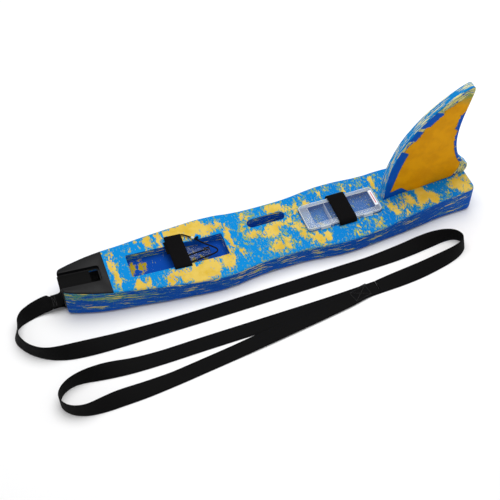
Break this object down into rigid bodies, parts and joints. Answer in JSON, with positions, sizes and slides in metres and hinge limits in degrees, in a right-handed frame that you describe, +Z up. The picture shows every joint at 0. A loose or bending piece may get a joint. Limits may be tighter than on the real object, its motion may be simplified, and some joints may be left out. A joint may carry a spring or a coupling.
{
  "type": "towed foam float board",
  "caption": "Long marbled foam board with a tail fin, strapped clear box, storage recess, hand slot, nose cover and sewn webbing leash.",
  "frame": {"origin": "on the ground under the middle of the board, without its leash", "axes": "+X towards the tail and its fin, +Y to the side away from the laid-out leash, +Z up"},
  "size_m": [1.1397, 0.4022, 0.36],
  "materials": {
    "foam": "closed-cell foam, blue marbled with yellow",
    "fin_foam": "closed-cell foam, ochre face with a blue marbled rim",
    "cover": "semi-gloss black moulding",
    "webbing": "woven black webbing and cord",
    "tape": "black hook and loop tape",
    "clear": "clear moulded plastic",
    "steel": "bright wire",
    "label": "plain white label",
    "thread": "black sewing thread",
    "black_plastic": "black moulding"
  },
  "bodies": {
    "board": {"hull_foam": "foam", "nose_cover": "cover", "nose_webbing": "webbing", "nose_bar_tack": "thread", "fin": "fin_foam", "leash_main": "webbing", "leash_loop": "webbing", "loop_stitching": "thread", "recess_strap_tab": "tape", "recess_anchor_near": "tape", "recess_anchor_far": "tape", "box_strap_tab": "tape", "box_anchor_near": "tape", "box_anchor_far": "tape", "box_base": "clear", "box_divider": "clear", "box_hinge_pin_left": "steel", "box_hinge_pin_right": "steel", "pouch": "clear", "pouch_cord": "webbing", "pouch_tether": "webbing", "cord_lock": "black_plastic", "tether_clip": "black_plastic"},
    "recess_flap": {"recess_strap_flap": "tape"},
    "box_flap": {"box_strap_flap": "tape"},
    "lid": {"box_lid": "clear", "box_label": "label"},
    "latch_left": {"box_latch_left": "clear"},
    "latch_right": {"box_latch_right": "clear"}
  },
  "joints": [
    {"name": "recess_flap_hinge", "type": "hinge", "parent": "board", "child": "recess_flap", "pos_m": [-0.225, -0.0385, 0.05848], "axis": [0.9965, 0, -0.0832], "range_deg": [0, 150]},
    {"name": "box_flap_hinge", "type": "hinge", "parent": "board", "child": "box_flap", "pos_m": [0.18225, 0.0474, 0.054], "axis": [-1, 0, 0], "range_deg": [0, 125]},
    {"name": "box_lid_hinge", "type": "hinge", "parent": "board", "child": "lid", "pos_m": [0.179, 0.04, 0.0561], "axis": [-1, 0, 0], "range_deg": [0, 100]},
    {"name": "latch_left_hinge", "type": "hinge", "parent": "lid", "child": "latch_left", "pos_m": [0.127, -0.0379, 0.0593], "axis": [-1, 0, 0], "range_deg": [0, 60]},
    {"name": "latch_right_hinge", "type": "hinge", "parent": "lid", "child": "latch_right", "pos_m": [0.236, -0.0379, 0.0593], "axis": [-1, 0, 0], "range_deg": [0, 60]}
  ],
  "couplings": [
    {"joint": "box_lid_hinge", "follows": "box_flap_hinge", "ratio": 0.8}
  ]
}
